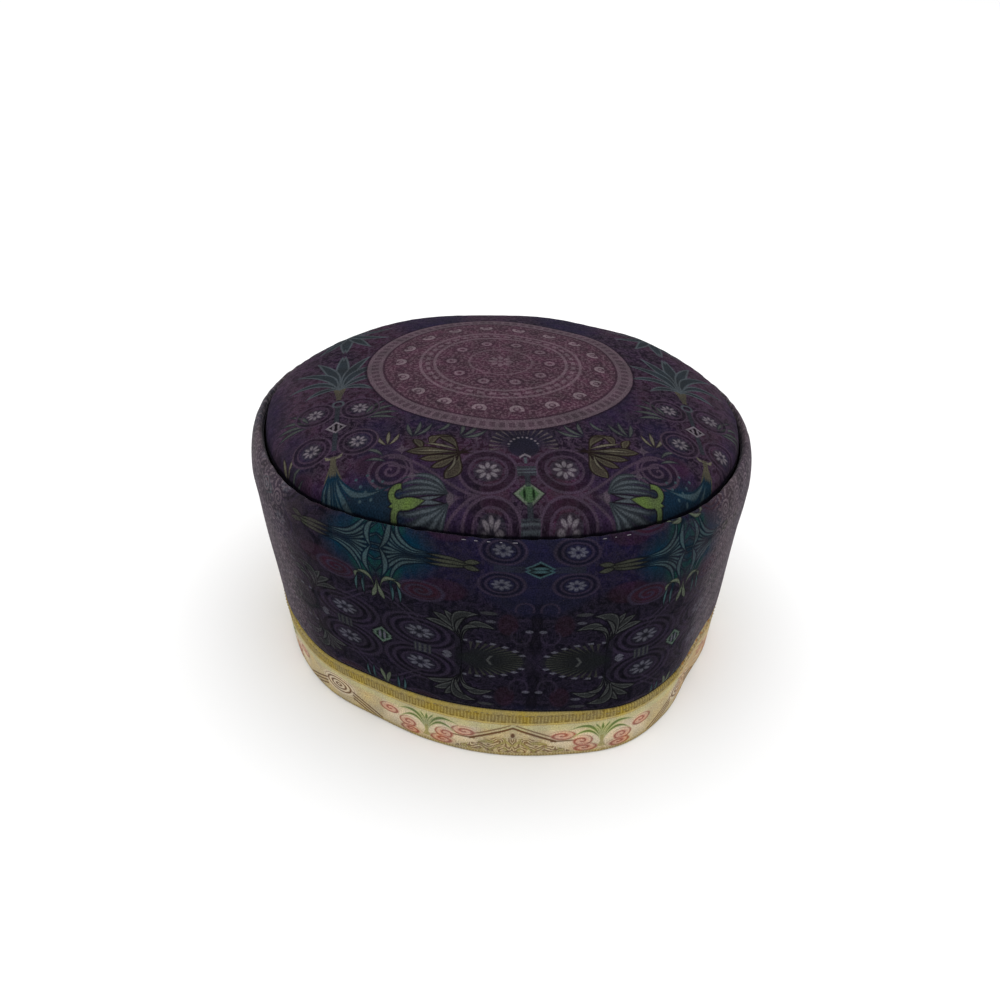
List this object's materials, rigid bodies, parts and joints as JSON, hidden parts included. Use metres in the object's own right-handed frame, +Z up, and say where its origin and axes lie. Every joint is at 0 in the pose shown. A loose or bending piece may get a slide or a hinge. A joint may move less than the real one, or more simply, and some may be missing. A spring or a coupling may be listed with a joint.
{
  "type": "prayer cap",
  "caption": "Round soft prayer cap of printed padded cloth: domed crown, rolled top edge, straight side wall and a pale border band along the hem",
  "frame": {"origin": "middle of the base, on the surface that the cap rests on", "axes": "+Z up through the crown, front of the cap towards -Y, +X to the right seen from the front"},
  "size_m": [0.1926, 0.1882, 0.1093],
  "materials": {
    "crown_cloth": "dark printed cotton, matte",
    "wall_cloth": "dark printed cotton, matte",
    "band_cloth": "gold and cream printed cotton, matte"
  },
  "bodies": {
    "root": {"crown_panel": "crown_cloth", "side_wall": "wall_cloth", "hem_band": "band_cloth"}
  },
  "joints": []
}
